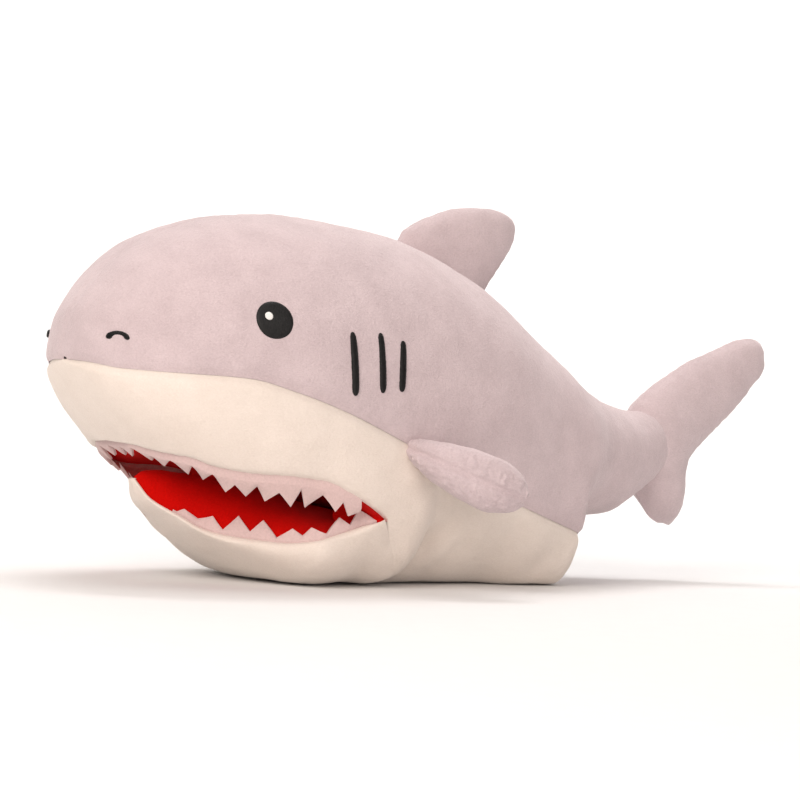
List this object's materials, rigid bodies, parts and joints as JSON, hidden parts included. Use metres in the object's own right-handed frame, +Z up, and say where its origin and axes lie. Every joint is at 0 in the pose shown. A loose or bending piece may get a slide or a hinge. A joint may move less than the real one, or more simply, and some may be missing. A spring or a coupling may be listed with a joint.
{
  "type": "plush shark",
  "caption": "Stuffed plush shark lying on its belly, with an open mouth, zigzag felt teeth, embroidered eyes and gills, and soft fins and tail that bend and spring back.",
  "frame": {"origin": "middle of the bounding box, on the surface that the toy lies on", "axes": "nose toward -Y, tail toward +Y, the shark's own left side toward +X, +Z up"},
  "size_m": [0.2168, 0.45, 0.195],
  "materials": {
    "grey_plush": "short-pile plush, soft sheen",
    "cream_plush": "short-pile plush, soft sheen",
    "red_lining": "smooth brushed knit",
    "felt_teeth": "matted felt",
    "black_thread": "satin-stitched thread",
    "white_thread": "satin-stitched thread",
    "filling": "loose polyester filling"
  },
  "bodies": {
    "trunk": {"back_cover_left": "grey_plush", "back_cover_right": "grey_plush", "upper_lip_cover_left": "cream_plush", "upper_lip_cover_right": "cream_plush", "belly_cover": "cream_plush", "palate_lining": "red_lining", "upper_teeth": "felt_teeth", "head_stuffing": "filling", "body_stuffing": "filling", "left_eye": "black_thread", "right_eye": "black_thread", "left_eye_glint": "white_thread", "right_eye_glint": "white_thread", "left_nostril": "black_thread", "right_nostril": "black_thread", "left_gill_stitches": "black_thread", "right_gill_stitches": "black_thread"},
    "jaw": {"jaw_cover": "cream_plush", "tongue_lining": "red_lining", "lower_teeth": "felt_teeth", "jaw_stuffing": "filling"},
    "dorsal_fin": {"dorsal_panel_left": "grey_plush", "dorsal_panel_right": "grey_plush", "dorsal_stuffing": "filling"},
    "left_pectoral_fin": {"left_pectoral_top_panel": "grey_plush", "left_pectoral_bottom_panel": "grey_plush", "left_pectoral_stuffing": "filling"},
    "right_pectoral_fin": {"right_pectoral_top_panel": "grey_plush", "right_pectoral_bottom_panel": "grey_plush", "right_pectoral_stuffing": "filling"},
    "tail": {"tail_cover_left": "grey_plush", "tail_cover_right": "grey_plush", "tail_stuffing": "filling"},
    "tail_fin": {"tail_fin_panel_left": "grey_plush", "tail_fin_panel_right": "grey_plush", "tail_fin_stuffing": "filling"}
  },
  "joints": [
    {"name": "jaw_hinge", "type": "hinge", "parent": "trunk", "child": "jaw", "pos_m": [0, -0.084, 0.035], "axis": [1, 0, 0], "range_deg": [-6, 12], "stiffness_Nm_per_rad": 3},
    {"name": "dorsal_fin_flex", "type": "hinge", "parent": "trunk", "child": "dorsal_fin", "pos_m": [0, -0.00575, 0.16625], "axis": [0, 0.9149, -0.4038], "range_deg": [-35, 35], "stiffness_Nm_per_rad": 0.08},
    {"name": "left_pectoral_flap", "type": "hinge", "parent": "trunk", "child": "left_pectoral_fin", "pos_m": [0.0785, -0.07, 0.064], "axis": [0.0985, -0.9702, 0.2215], "range_deg": [-25, 40], "stiffness_Nm_per_rad": 0.06},
    {"name": "right_pectoral_flap", "type": "hinge", "parent": "trunk", "child": "right_pectoral_fin", "pos_m": [-0.0785, -0.07, 0.064], "axis": [0.0985, 0.9702, -0.2215], "range_deg": [-25, 40], "stiffness_Nm_per_rad": 0.06},
    {"name": "tail_sway", "type": "hinge", "parent": "trunk", "child": "tail", "pos_m": [0, 0.108, 0.066], "axis": [0, 0, 1], "range_deg": [-30, 30], "stiffness_Nm_per_rad": 0.4},
    {"name": "tail_fin_flex", "type": "hinge", "parent": "tail", "child": "tail_fin", "pos_m": [0, 0.14, 0.066], "axis": [0, 0, 1], "range_deg": [-25, 25], "stiffness_Nm_per_rad": 0.15}
  ]
}
